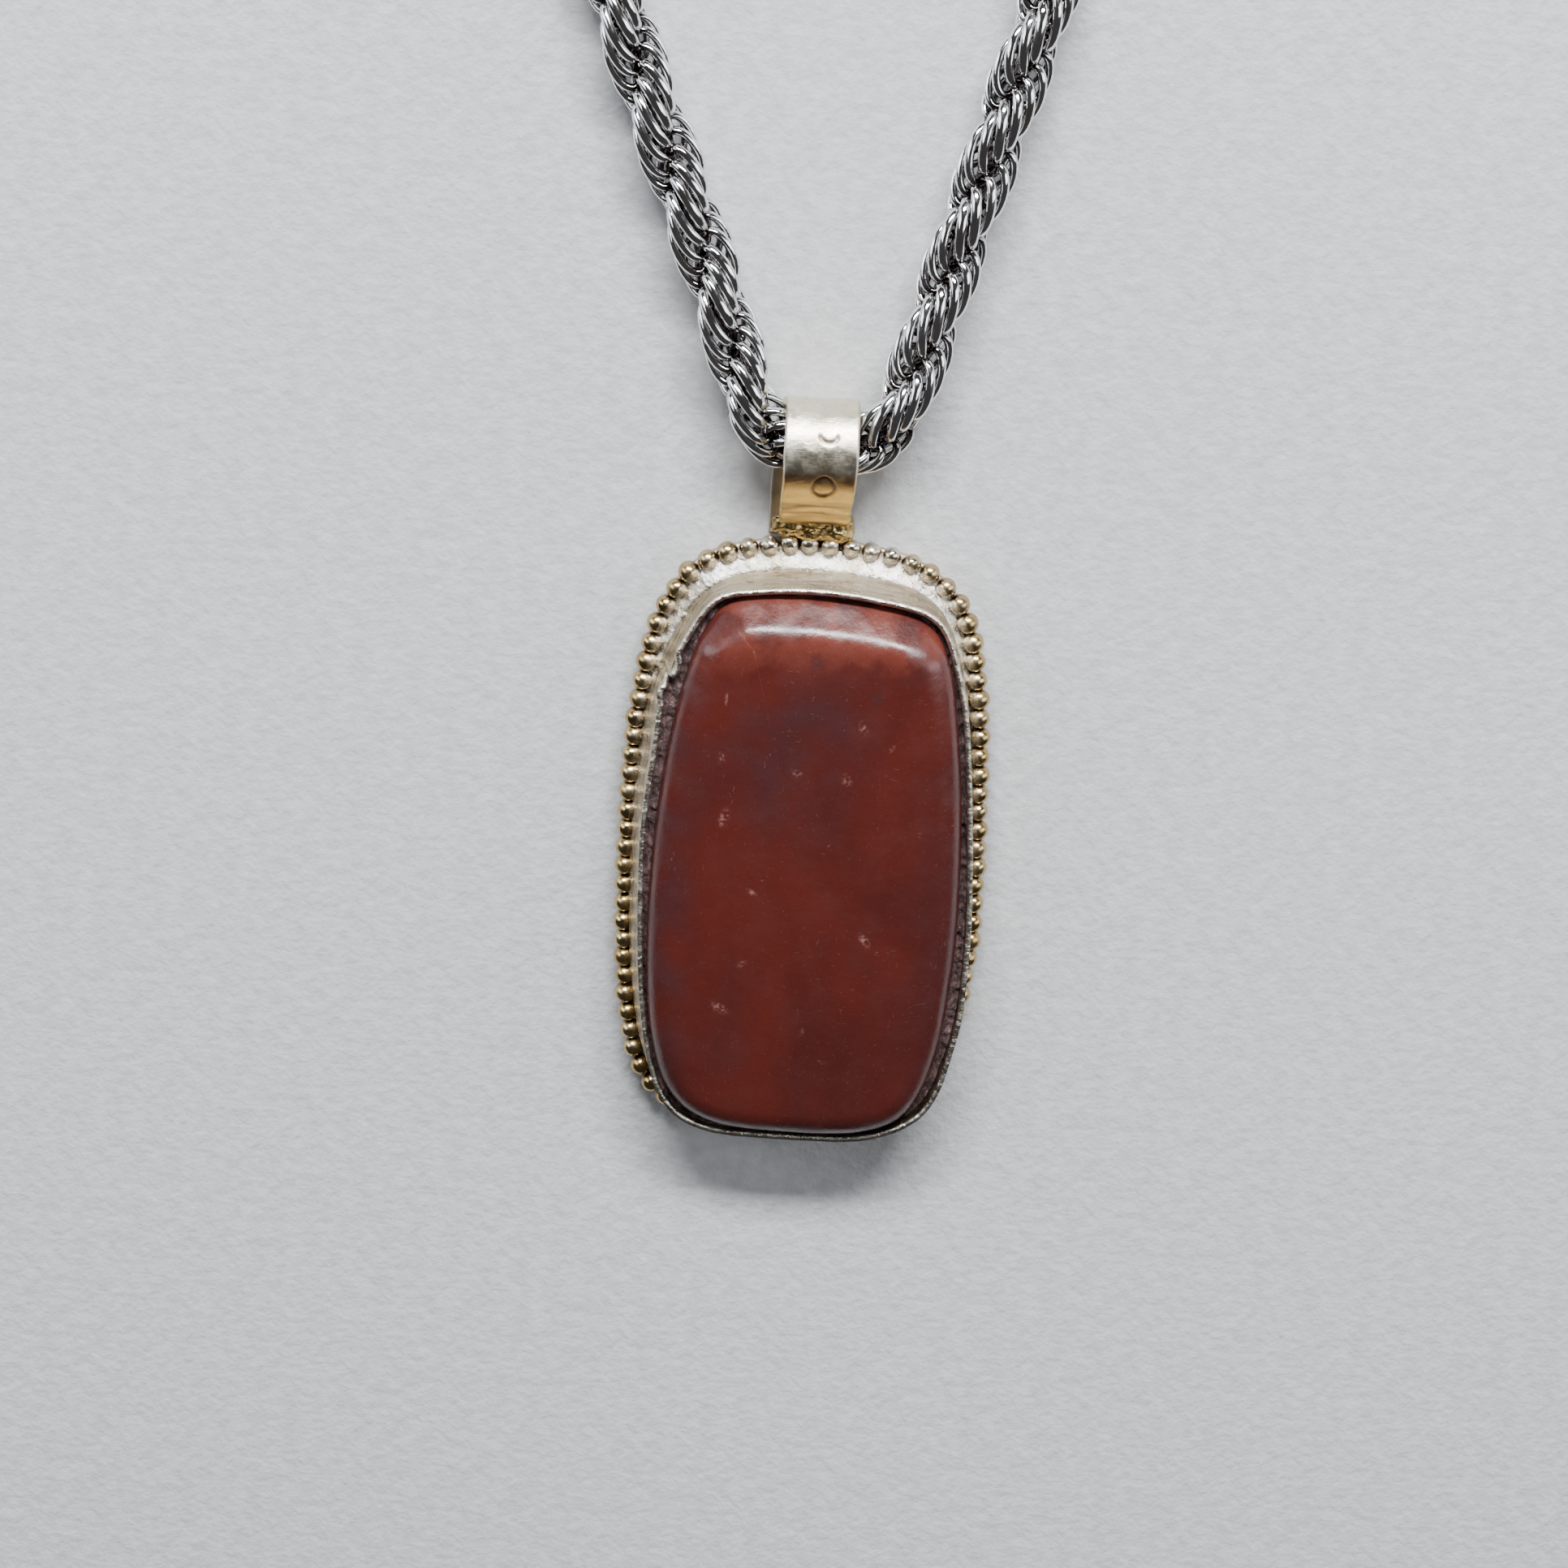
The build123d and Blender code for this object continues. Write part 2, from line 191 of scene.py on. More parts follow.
def step(low, high, x):
    """0 below low, 1 above high and smooth between."""
    t = np.clip((np.asarray(x, float) - low) / (high - low), 0, 1)
    return t * t * (3 - 2 * t)


def dip(points, at, radius):
    """1 at a place, falling smoothly to 0 at this distance from it."""
    return 1 - step(0, radius, np.linalg.norm(np.asarray(points)[:, : len(at)] - np.array(at), axis=1))


# ---------------------------------------------------------------- materials

def new_material(name, **sockets):
    """A material, its node tree and its shader, with plain values on the shader's sockets."""
    material = bpy.data.materials.new(name)
    material.use_nodes = True
    tree = material.node_tree
    shader = tree.nodes["Principled BSDF"]
    for socket, value in sockets.items():
        shader.inputs[socket.replace("_", " ")].default_value = value
    return material, tree, shader


def add(tree, kind, sockets=None, **settings):
    """A node with its settings, and each input given as a value or as another node's output."""
    made = tree.nodes.new(kind)
    for key, value in settings.items():
        setattr(made, key, value)
    for key, value in (sockets or {}).items():
        if isinstance(value, bpy.types.NodeSocket):
            tree.links.new(value, made.inputs[key])
        else:
            made.inputs[key].default_value = value
    return made


def millimetres(tree, stretch=(1, 1, 1)):
    """The point on the object, in millimetres, stretched along its axes."""
    place = add(tree, "ShaderNodeTexCoord").outputs["Object"]
    scale = tuple(s / MM for s in stretch)
    return add(tree, "ShaderNodeVectorMath", {0: place, 1: scale}, operation="MULTIPLY").outputs[0]


def clouds(tree, place, size, detail=4.0, rough=0.55, bend=0.0):
    """Cloudy noise from 0 to 1 with features of this size in millimetres."""
    sockets = {"Vector": place, "Scale": 1 / size, "Detail": detail, "Roughness": rough, "Distortion": bend}
    return add(tree, "ShaderNodeTexNoise", sockets).outputs["Fac"]


def between(tree, value, low, high, to_low=0.0, to_high=1.0):
    """A value stretched from one range to another, and kept inside it."""
    sockets = {"Value": value, "From Min": low, "From Max": high, "To Min": to_low, "To Max": to_high}
    return add(tree, "ShaderNodeMapRange", sockets, interpolation_type="SMOOTHSTEP").outputs["Result"]


def math_node(tree, operation, a, b):
    return add(tree, "ShaderNodeMath", {0: a, 1: b}, operation=operation).outputs[0]


def blended(tree, share, a, b):
    """Colour a turning to colour b as share goes from 0 to 1."""
    mix = add(tree, "ShaderNodeMix", data_type="RGBA")
    for index, value in ((0, share), (6, a), (7, b)):
        if isinstance(value, bpy.types.NodeSocket):
            tree.links.new(value, mix.inputs[index])
        else:
            mix.inputs[index].default_value = (*value, 1) if isinstance(value, tuple) else value
    return mix.outputs[2]


def painted(tree, name):
    return add(tree, "ShaderNodeAttribute", attribute_name=name).outputs["Fac"]


def raised(tree, height, depth, under=None):
    """A bump of this depth in millimetres, on top of another one."""
    sockets = {"Height": height, "Distance": depth * MM, "Strength": 1.0}
    if under is not None:
        sockets["Normal"] = under
    return add(tree, "ShaderNodeBump", sockets).outputs["Normal"]


def join(tree, shader, **sockets):
    for socket, value in sockets.items():
        tree.links.new(value, shader.inputs[socket.replace("_", " ")])


def worn_metal(name, light, worn, dark, rough, scratch_stretch, grime_and_shade=None, second=None, pits=0.03, spots=0.7,
               grain=(1, 1, 1)):
    """Old metal: cloudy tarnish, brassy wear, fine scratches and, where painted, grime and painted shade."""
    material, tree, shader = new_material(name, Metallic=1.0)
    place = millimetres(tree)
    streaks = clouds(tree, millimetres(tree, grain), 2.2, bend=0.6)
    colour = blended(tree, between(tree, streaks, 0.42, 0.66), light, worn)
    if second is not None:
        colour = blended(tree, painted(tree, second[0]), colour, second[1])
    speckle = between(tree, clouds(tree, place, 0.5, detail=6.0), 0.56, 0.74, 0.0, spots)
    colour = blended(tree, speckle, colour, dark)
    scratches = clouds(tree, millimetres(tree, scratch_stretch), 0.35, detail=5.0, rough=0.7)
    # the painted darkening is partly grime, partly painted shade and a painted dark reflection
    if grime_and_shade is not None:
        colour = blended(tree, painted(tree, grime_and_shade), colour, dark)
    roughness = between(tree, clouds(tree, place, 0.9, detail=6.0), 0.3, 0.7, rough[0], rough[1])
    under = raised(tree, scratches, pits)
    normal = raised(tree, clouds(tree, place, 0.6, detail=3.0), pits * 2, under)
    join(tree, shader, Base_Color=colour, Roughness=roughness, Normal=normal)
    return material


def bright_metal(name, light, shade, rough, size=0.8, deep=None):
    """Polished metal with a faint change of tint, haze, handling marks and, if asked for, dark crevices."""
    material, tree, shader = new_material(name, Metallic=1.0)
    place = millimetres(tree)
    tint = between(tree, clouds(tree, place, 3.0 * size, bend=0.4), 0.5, 0.72)
    colour = blended(tree, tint, light, shade)
    if deep is not None:
        colour = blended(tree, painted(tree, "deep"), colour, deep)
    roughness = between(tree, clouds(tree, place, size, detail=5.0), 0.35, 0.7, rough[0], rough[1])
    marks = raised(tree, clouds(tree, place, 0.25 * size, detail=4.0), 0.004)
    join(tree, shader, Base_Color=colour, Roughness=roughness, Normal=marks)
    return material


def stone_material():
    """Polished red-brown stone: plum clouds, orange ends, pale scratches and pits."""
    material, tree, shader = new_material("stone", IOR=1.54)
    place = millimetres(tree)
    flow = millimetres(tree, (1.0, 0.55, 1.0))
    y = add(tree, "ShaderNodeSeparateXYZ", {0: place}).outputs["Y"]
    colour = blended(tree, between(tree, clouds(tree, flow, 12.0, bend=0.6), 0.34, 0.68), RED, DEEP_RED)
    patches = between(tree, clouds(tree, place, 5.0, detail=1.5), 0.25, 0.65)
    plum = math_node(tree, "MULTIPLY", painted(tree, "plum"), patches)
    colour = blended(tree, plum, colour, PLUM)
    top_end = between(tree, y, 9.0, 14.0)
    warm = math_node(tree, "MULTIPLY", top_end, between(tree, clouds(tree, place, 3.0), 0.35, 0.6))
    colour = blended(tree, warm, colour, ORANGE)
    mottle = between(tree, clouds(tree, place, 0.5, detail=8.0, rough=0.7), 0.5, 0.72, 0.0, 0.35)
    colour = blended(tree, mottle, colour, RED)
    colour = blended(tree, painted(tree, "spot"), colour, DARK_SPOT)
    lengthwise = clouds(tree, millimetres(tree, (2.6, 0.45, 1)), 0.5, detail=3.0, rough=0.5, bend=2.6)
    crosswise = clouds(tree, millimetres(tree, (0.55, 2.0, 1)), 0.6, detail=3.0, rough=0.5, bend=3.0)
    scratches = math_node(tree, "MAXIMUM", between(tree, lengthwise, 0.69, 0.73, 0, 0.22),
                          between(tree, crosswise, 0.70, 0.74, 0, 0.22))
    broken = between(tree, clouds(tree, place, 0.28, detail=4.0), 0.42, 0.6)
    chips = math_node(tree, "MAXIMUM", scratches, math_node(tree, "MULTIPLY", broken, painted(tree, "chip")))
    colour = blended(tree, chips, colour, CHIP)
    haze = between(tree, clouds(tree, place, 2.5, detail=6.0), 0.35, 0.7, 0.24, 0.37)
    roughness = math_node(tree, "ADD", haze, math_node(tree, "MULTIPLY", chips, 0.4))
    under = raised(tree, clouds(tree, place, 1.4, detail=3.0), 0.05)
    normal = raised(tree, chips, -0.02, raised(tree, clouds(tree, place, 0.22, detail=5.0), 0.008, under))
    join(tree, shader, Base_Color=colour, Roughness=roughness, Normal=normal)
    return material


def grit_material():
    """Dark, crumbly packing with dull glints."""
    material, tree, shader = new_material("bedding")
    place = millimetres(tree)
    crumbs = between(tree, clouds(tree, place, 0.3, detail=8.0, rough=0.8), 0.4, 0.62)
    colour = blended(tree, crumbs, PACK_DARK, PACK)
    glints = between(tree, clouds(tree, place, 0.16, detail=4.0), 0.63, 0.7)
    colour = blended(tree, glints, colour, PACK_GLINT)
    roughness = between(tree, glints, 0.0, 1.0, 0.75, 0.3)
    normal = raised(tree, clouds(tree, place, 0.25, detail=8.0, rough=0.8), 0.12)
    join(tree, shader, Base_Color=colour, Roughness=roughness, Normal=normal)
    return material


RED = (0.073, 0.0120, 0.0086)
DEEP_RED = (0.050, 0.0095, 0.0082)
PLUM = (0.041, 0.0135, 0.0145)
ORANGE = (0.122, 0.027, 0.018)
DARK_SPOT = (0.040, 0.016, 0.018)
CHIP = (0.28, 0.13, 0.115)
PACK_DARK = (0.018, 0.010, 0.010)
PACK = (0.155, 0.084, 0.080)
PACK_GLINT = (0.34, 0.24, 0.22)
SILVER = (0.91, 0.91, 0.92)
WARM_SILVER = (0.80, 0.75, 0.64)
CREAM = (0.86, 0.81, 0.70)
GOLD = (0.88, 0.64, 0.20)
TARNISH = (0.20, 0.14, 0.08)
BROWN = (0.11, 0.07, 0.045)

stone_look = stone_material()
packing_look = grit_material()
# Bright metals: the two tints and the range of the roughness. Worn metals: the clean, worn and dark
# colours, the range of the roughness, the scratches' stretch, and the names that paint() uses.
chain_look = bright_metal("chain_metal", SILVER, (0.80, 0.77, 0.76), (0.07, 0.17), deep=(0.10, 0.085, 0.08))
finding_look = bright_metal("finding_metal", SILVER, (0.80, 0.79, 0.78), (0.10, 0.24), size=1.4)
steel_look = bright_metal("steel", (0.58, 0.58, 0.60), (0.44, 0.43, 0.44), (0.22, 0.4))
bezel_look = worn_metal("bezel_metal", (0.50, 0.43, 0.315), (0.28, 0.20, 0.12), (0.22, 0.16, 0.10),
                        (0.24, 0.42), (0.5, 0.5, 3.0), "grime_and_shade", ("edge", CREAM), pits=0.09, spots=0.45,
                        grain=(0.7, 0.7, 4.0))
bead_look = worn_metal("bead_metal", (0.53, 0.385, 0.165), (0.40, 0.27, 0.105), BROWN,
                       (0.18, 0.34), (1, 1, 1), "grime_and_shade", ("silver", WARM_SILVER), pits=0.006, spots=0.35)
ledge_look = worn_metal("ledge_metal", (0.84, 0.81, 0.75), (0.56, 0.48, 0.36), TARNISH,
                        (0.20, 0.42), (1, 1, 1), "grime_and_shade", pits=0.09, spots=0.75)
bail_look = worn_metal("bail_metal", (0.90, 0.87, 0.78), (0.82, 0.77, 0.64), (0.26, 0.17, 0.11),
                       (0.30, 0.46), (0.4, 3.5, 3.5), "grime_and_shade", ("gold", GOLD), pits=0.02, spots=0.35)
solder_look = worn_metal("solder", (0.60, 0.43, 0.17), (0.36, 0.24, 0.09), BROWN,
                         (0.18, 0.42), (1, 1, 1), "grime_and_shade")
plate_look = worn_metal("plate_metal", (0.56, 0.50, 0.38), (0.44, 0.34, 0.20), TARNISH,
                        (0.3, 0.55), (5.0, 0.35, 1))


# ---------------------------------------------------------------- rope chain

CHAIN_D = 5.0
PITCH = 5.5              # between neighbouring turns of the coil
COIL_R = 27.0
COIL_C1 = (0.6, 110.6)   # centre of the coil's northern halves
COIL_C2 = (COIL_C1[0] + PITCH, COIL_C1[1])
COIL_STEP = 12           # degrees between a coil's points
RIGHT_JOINS = -102       # degrees round C2 where the right strand joins the coil
RIGHT_ENDS = -105
LEFT_CAP_TURN = 60       # the directions of the end caps
RIGHT_CAP_TURN = 140
CAP_AXIS_Z = 2.95
STUB = (1.2, 3.4, 5.6)   # places along the rope's end inside its cap

BAIL_MIDDLE = tuple(bail_axis)
LEFT_ROUTE = [
    (-3.2, 28.6, 3.9), (-5.3, 30.5, 3.9), (-6.6, 33.2, 3.7), (-7.9, 37.0, 3.2), (-10.7, 44.7, 2.7),
    (-15.9, 57.3, 2.5), (-20.6, 70.6, 2.5), (-23.9, 84.4, 2.5), (-25.9, 98.0, 2.5),
]
RIGHT_ROUTE = [
    (2.4, 28.6, 3.9), (4.7, 30.2, 3.9), (6.1, 33.0, 3.7), (7.3, 37.0, 3.2), (9.4, 44.8, 2.7),
    (13.0, 57.4, 2.5), (16.2, 68.8, 2.5), (13.95, 76.9, 2.5), (7.85, 82.65, 2.5),
]


def turns(centre, radius, start, end):
    """Points round part of a turn of the coil, in degrees, without the last."""
    count = round(abs(end - start) / COIL_STEP)
    angles = np.radians(np.linspace(start, end, count + 1)[:-1])
    return [(centre[0] + radius * math.cos(a), centre[1] + radius * math.sin(a), CHAIN_D / 2) for a in angles]


def stub(centre, radius, angle, turn):
    """The rope's last stretch, from the coil's end into its cap."""
    end, way = math.radians(angle), math.radians(turn)
    x, y = centre[0] + radius * math.cos(end), centre[1] + radius * math.sin(end)
    return [(x + d * math.cos(way), y + d * math.sin(way), CAP_AXIS_Z) for d in STUB]


left_route = [BAIL_MIDDLE, *LEFT_ROUTE]
left_route += turns(COIL_C1, COIL_R, 180, 0) + turns(COIL_C2, COIL_R - PITCH, 0, -180)
left_route += stub(COIL_C1, COIL_R - 2 * PITCH, 180, LEFT_CAP_TURN)
right_route = [BAIL_MIDDLE, *RIGHT_ROUTE]
right_route += turns(COIL_C2, COIL_R, RIGHT_JOINS, -180) + turns(COIL_C1, COIL_R - PITCH, 180, 0)
right_route += turns(COIL_C2, COIL_R - 2 * PITCH, 0, RIGHT_ENDS)
right_route += stub(COIL_C2, COIL_R - 2 * PITCH, RIGHT_ENDS, RIGHT_CAP_TURN)

TWIST = 15.7             # along the rope for one full turn of its strands
LINK_STEP = 0.55         # from one wire link to the next; they belong to the two strands in turn
LINK_OUT = 0.92          # from the rope's middle to a link's
LINK_HIGH = 1.22         # half a link's height, outward, to the middle of the wire
LINK_LONG = 2.35         # half its length, along the rope
WIRE_THICK = 0.35        # half the wire's thickness
WIRE_WIDE = 0.44         # half its width
LINK_LEAN = -11.0        # degrees that a link leans across the rope
CREVICE = 1.75           # nearer to the rope's middle than this, the wires are painted dark
LINK_SIDES = 26
WIRE_SIDES = 8


def smooth_line(name, route):
    """Closely spaced points on the smooth curve that has the route as its control points."""
    data = bpy.data.curves.new(name, "CURVE")
    data.dimensions = "3D"
    data.resolution_u = 16
    spline = data.splines.new("NURBS")
    spline.points.add(len(route) - 1)
    for point, place in zip(spline.points, route):
        point.co = (*(Vector(place) * MM), 1)
    spline.order_u = 3
    spline.use_endpoint_u = True
    holder = bpy.data.objects.new(name, data)
    mesh = bpy.data.meshes.new_from_object(holder)
    line = np.array([v.co for v in mesh.vertices], float)
    bpy.data.meshes.remove(mesh)
    bpy.data.objects.remove(holder)
    bpy.data.curves.remove(data)
    return line


def carried_frames(line):
    """For each point of a line, its direction and two sides that don't twist along it."""
    ahead = np.gradient(line, axis=0)
    ahead /= np.linalg.norm(ahead, axis=1)[:, None]
    side = np.zeros_like(line)
    side[0] = (0, 0, 1)
    for i in range(len(line)):
        before = side[max(i - 1, 0)]
        side[i] = before - before.dot(ahead[i]) * ahead[i]
        side[i] /= np.linalg.norm(side[i])
    return ahead, side, np.cross(ahead, side)


def rope(name, route, end_nodes):
    """A rope of overlapping oval wire links in two strands, laid along a route."""
    line = smooth_line(name + "_line", route)
    path = line / MM
    along = np.concatenate([[0], np.cumsum(np.linalg.norm(np.diff(path, axis=0), axis=1))])
    ahead, side, across = carried_frames(path)
    count = int(along[-1] / LINK_STEP)
    at = (np.arange(count) + 0.5) * LINK_STEP
    at = at + rng.uniform(-0.05, 0.05, count)

    def along_line(values):
        return np.stack([np.interp(at, along, values[:, k]) for k in range(3)], axis=1)

    centre, t, n, b = along_line(path), along_line(ahead), along_line(side), along_line(across)
    turn = 2 * math.pi * at / TWIST + math.pi * np.arange(count) + rng.normal(0, 0.025, count)
    out = np.cos(turn)[:, None] * n + np.sin(turn)[:, None] * b
    over = -np.sin(turn)[:, None] * n + np.cos(turn)[:, None] * b
    lean = np.radians(LINK_LEAN + rng.normal(0, 1.5, count))[:, None]
    up = np.cos(lean) * t + np.sin(lean) * over
    normal = np.cross(out, up)
    centre = centre + out * (LINK_OUT + rng.normal(0, 0.02, count))[:, None]
    ring = np.arange(LINK_SIDES) / LINK_SIDES * 2 * math.pi
    wire = np.arange(WIRE_SIDES) / WIRE_SIDES * 2 * math.pi
    oval = np.column_stack([LINK_HIGH * np.cos(ring), LINK_LONG * np.sin(ring)])
    outward = np.column_stack([np.cos(ring) / LINK_HIGH, np.sin(ring) / LINK_LONG])
    outward /= np.linalg.norm(outward, axis=1)[:, None]
    section = oval[:, None] + outward[:, None] * (WIRE_THICK * np.cos(wire))[None, :, None]
    points = centre[:, None, None] + out[:, None, None] * section[None, :, :, :1]
    points = points + up[:, None, None] * section[None, :, :, 1:]
    points = points + normal[:, None, None] * (WIRE_WIDE * np.sin(wire))[None, None, :, None]
    per_link = LINK_SIDES * WIRE_SIDES
    one = np.array(grid_faces(LINK_SIDES, WIRE_SIDES, close_rows=True))
    faces = (one[None] + per_link * np.arange(count)[:, None, None]).reshape(-1, 4).tolist()
    piece = mesh_piece(name, points.reshape(-1, 3), faces, chain_look, "chain")
    crevice = 1 - step(CREVICE - 0.7, CREVICE, LINK_OUT + section[:, :, 0])
    paint(piece, "deep", np.tile(crevice.ravel(), count))
    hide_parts("chain_run", "chain_coil", *end_nodes)


rope("rope_chain_left", left_route, ["chain_end_left"])
rope("rope_chain_right", right_route, ["chain_end_right"])


# ---------------------------------------------------------------- outlines

# EDGE is where the beads' inner sides run, WALL the bezel's foot, RIM its top, point for point
# with WALL, and GIRDLE the stone at its widest.
EDGE = [
    (13.7, -9.0), (13.5, -1.0), (13.1, 6.0), (12.2, 11.8), (10.4, 15.6), (6.8, 18.05), (0.5, 19.0),
    (-5.1, 18.65), (-9.1, 17.1), (-11.6, 13.6), (-12.7, 9.5), (-13.45, 4.0), (-13.8, -4.5),
    (-13.7, -13.5), (-13.1, -21.5), (-11.4, -27.0), (-7.0, -30.2), (0.0, -30.9), (6.6, -30.1),
    (10.5, -26.8), (12.5, -21.5), (13.5, -16.0),
]
WALL = [
    (13.65, -9.0), (13.4, -1.0), (12.9, 6.0), (11.7, 11.6), (9.7, 15.2), (6.2, 17.0), (0.3, 17.7),
    (-4.8, 17.4), (-8.3, 16.1), (-10.95, 12.8), (-12.6, 8.9), (-13.7, 3.4), (-14.2, -4.5),
    (-14.05, -13.5), (-13.2, -21.5), (-11.3, -27.0), (-7.0, -30.1), (0.0, -30.8), (6.6, -30.0),
    (10.5, -26.7), (12.75, -21.5), (13.6, -16.0),
]
RIM = [
    (14.05, -9.5), (13.5, -1.0), (12.85, 6.0), (11.65, 11.6), (9.9, 15.2), (6.4, 16.6), (0.3, 17.35),
    (-4.8, 17.15), (-8.2, 16.2), (-10.6, 12.6), (-12.05, 8.6), (-12.7, 3.2), (-13.35, -4.5),
    (-13.15, -13.5), (-12.4, -21.5), (-10.7, -27.5), (-7.0, -30.2), (0.0, -30.75), (6.8, -30.4),
    (11.5, -27.6), (13.5, -21.4), (14.05, -16.0),
]
GIRDLE = [
    (12.95, -9.0), (12.65, -1.0), (11.95, 6.0), (10.95, 11.4), (9.1, 14.7), (5.5, 16.05), (-1.0, 16.65),
    (-6.5, 16.2), (-8.9, 13.5), (-10.4, 9.0), (-11.5, 3.0), (-12.25, -5.0), (-12.4, -14.0),
    (-11.75, -21.5), (-10.0, -26.7), (-6.4, -29.3), (0.0, -29.95), (6.2, -29.6), (9.9, -27.5),
    (11.9, -22.5), (12.75, -15.5),
]


# ---------------------------------------------------------------- bezel

BEZEL_T = 0.60           # the strip's thickness at its foot
AROUND = 720             # points round the bezel, the ledge and the plate
TEAR_AT = (-11.95, 9.2)  # the tear in the rim, how wide it is either way and how deep
TEAR_RADIUS = 0.55
TEAR_DEEP = 1.9
CURL_IN_AT = (-11.6, 10.4)    # the rim curls inward above the tear and outward below it
CURL_IN_RADIUS = 1.4
CURL_IN = 0.55
CURL_OUT_AT = (-12.2, 8.0)
CURL_OUT_RADIUS = 1.1
CURL_OUT = 0.30
wall_places = even_places(WALL, AROUND)
wall_line = closed_curve(WALL, wall_places)
rim_line = closed_curve(RIM, wall_places)


def bezel():
    """The hand-bent strip round the stone: leaning, dented, with a torn and curled rim."""
    ragged = at_height(rim_line, 0)
    height = rim_top - 0.12 + 0.10 * lumps(ragged, 7.0, 1) + 0.04 * lumps(ragged, 1.2, 2)
    height = height - TEAR_DEEP * dip(rim_line, TEAR_AT, TEAR_RADIUS)
    above = dip(rim_line, CURL_IN_AT, CURL_IN_RADIUS)
    below = dip(rim_line, CURL_OUT_AT, CURL_OUT_RADIUS)
    dent = 0.16 * lumps(ragged, 5.0, 3) + 0.05 * lumps(ragged, 1.6, 4)
    share = np.concatenate([np.linspace(0, 0.9, 12), [0.95, 0.985, 1.0]])
    outer = []
    for s in share:
        z = plate_top + (height - plate_top) * s
        outline = wall_line + (rim_line - wall_line) * step(0, 1, s)
        push = dent * math.sin(math.pi * min(s, 0.9))
        push = push - CURL_IN * above * s**3 + CURL_OUT * below * s**3
        push = push + 0.05 * lumps(at_height(wall_line, z), 1.0, 5) * math.sin(math.pi * min(s, 0.95))
        outer.append(at_height(moved_out(outline, push - 0.03 * (s > 0.97)), z))
    inner = []
    for s, ring in zip(share[::-1], outer[::-1]):
        thin = BEZEL_T * (1 - 0.25 * s)
        drop = 0.0 if s < 0.99 else 0.02
        inner.append(at_height(moved_out(ring[:, :2], -thin + 0.05 * (s > 0.97)), ring[:, 2] - drop))
    rings = outer + inner
    piece = loft("bezel_sheet", rings, bezel_look, close=True)
    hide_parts("bezel_strip")
    levels = np.concatenate([share, share[::-1]])[:, None] * np.ones(AROUND)
    edge = step(0.93, 0.99, levels)
    inside = np.concatenate([np.zeros(len(share)), np.ones(len(share))])[:, None] * np.ones(AROUND)
    foot = 1 - step(0.0, 0.12, levels)
    paint(piece, "edge", edge.ravel() * 0.9)
    # darkened at the foot and on the inner face, which faces the stone
    paint(piece, "grime_and_shade", (0.75 * foot + 0.55 * inside * (1 - edge)).ravel())


bezel()


# ---------------------------------------------------------------- beads and ledge

BEAD_R = 0.86
BEAD_OUT = 0.68          # from the line of their inner sides to their middles
BEAD_Z = 1.5
BEAD_COUNT = 83
BEAD_RINGS = 14
BEAD_SIDES = 20
MELTED_FROM = 17.2       # beads past this y are half melted by the solder
# Across the ledge, from the bezel's foot (0) to the beads' inner sides (1): place, height and how much it is
# darkened.
LEDGE_PROFILE = [(-0.15, 1.9, 0.5), (0.1, 2.15, 0.1), (0.3, 2.0, 0), (0.5, 1.8, 0), (0.7, 1.6, 0),
                 (0.9, 1.4, 0.1), (1.15, 1.2, 0.5), (1.3, 0.85, 0.9)]
LEDGE_FOOT_DARKENING = 0.9


def beads():
    """Border balls, uneven and tarnished, run together near the bail; painted shade under and between."""
    line = moved_out(closed_curve(EDGE, even_places(EDGE, BEAD_COUNT * 8)), BEAD_OUT)
    spots, before, after = line[::8], np.roll(line, 8, axis=0)[::8], np.roll(line, -8, axis=0)[::8]
    ball, one = ball_mesh(BEAD_RINGS, BEAD_SIDES)
    points, faces, grime_and_shade, silver = [], [], [], []
    for i, (spot, a, c) in enumerate(zip(spots, before, after)):
        run = (c - a) / np.linalg.norm(c - a)
        melted = step(MELTED_FROM, MELTED_FROM + 1.6, spot[1]) * (spot[0] > -6.0)
        size = BEAD_R * (1 + rng.uniform(-0.05, 0.04)) * (1 - 0.10 * melted)
        shape = ball * size
        shape = shape * (1 + (0.02 + 0.14 * melted) * lumps(ball * 0.9 + i * 3.7, 0.9, 6))[:, None]
        shift = rng.uniform(-0.06, 0.06, 2)
        points.append(shape + np.array([*(spot + shift), BEAD_Z + rng.uniform(-0.05, 0.03)]))
        faces += [tuple(k + i * len(ball) for k in face) for face in one]
        # painted shade: each bead is darkened on its lower half and where it touches its neighbours
        touch = np.abs(ball[:, :2] @ run)
        grime_and_shade.append(np.maximum(step(0.72, 0.97, touch), 1 - step(-0.6, 0.1, ball[:, 2])) * 0.95)
        facing_in = step(0.0, 0.6, ball[:, :2] @ np.array([-run[1], run[0]]) + 0.25 * ball[:, 2])
        flowed = facing_in * (0.08 + 0.6 * step(-14.0, 6.0, spot[1]))
        near_bail = step(14.5, 19.5, spot[1]) * (1 - 0.75 * step(4.5, 8.0, abs(spot[0] - 1.0)))
        silver.append(np.maximum(flowed, 0.05 + 0.75 * near_bail) + rng.uniform(-0.05, 0.1))
    piece = mesh_piece("border_beads", np.concatenate(points), faces, bead_look)
    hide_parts("bead_border")
    paint(piece, "grime_and_shade", np.concatenate(grime_and_shade))
    paint(piece, "silver", np.concatenate(silver))


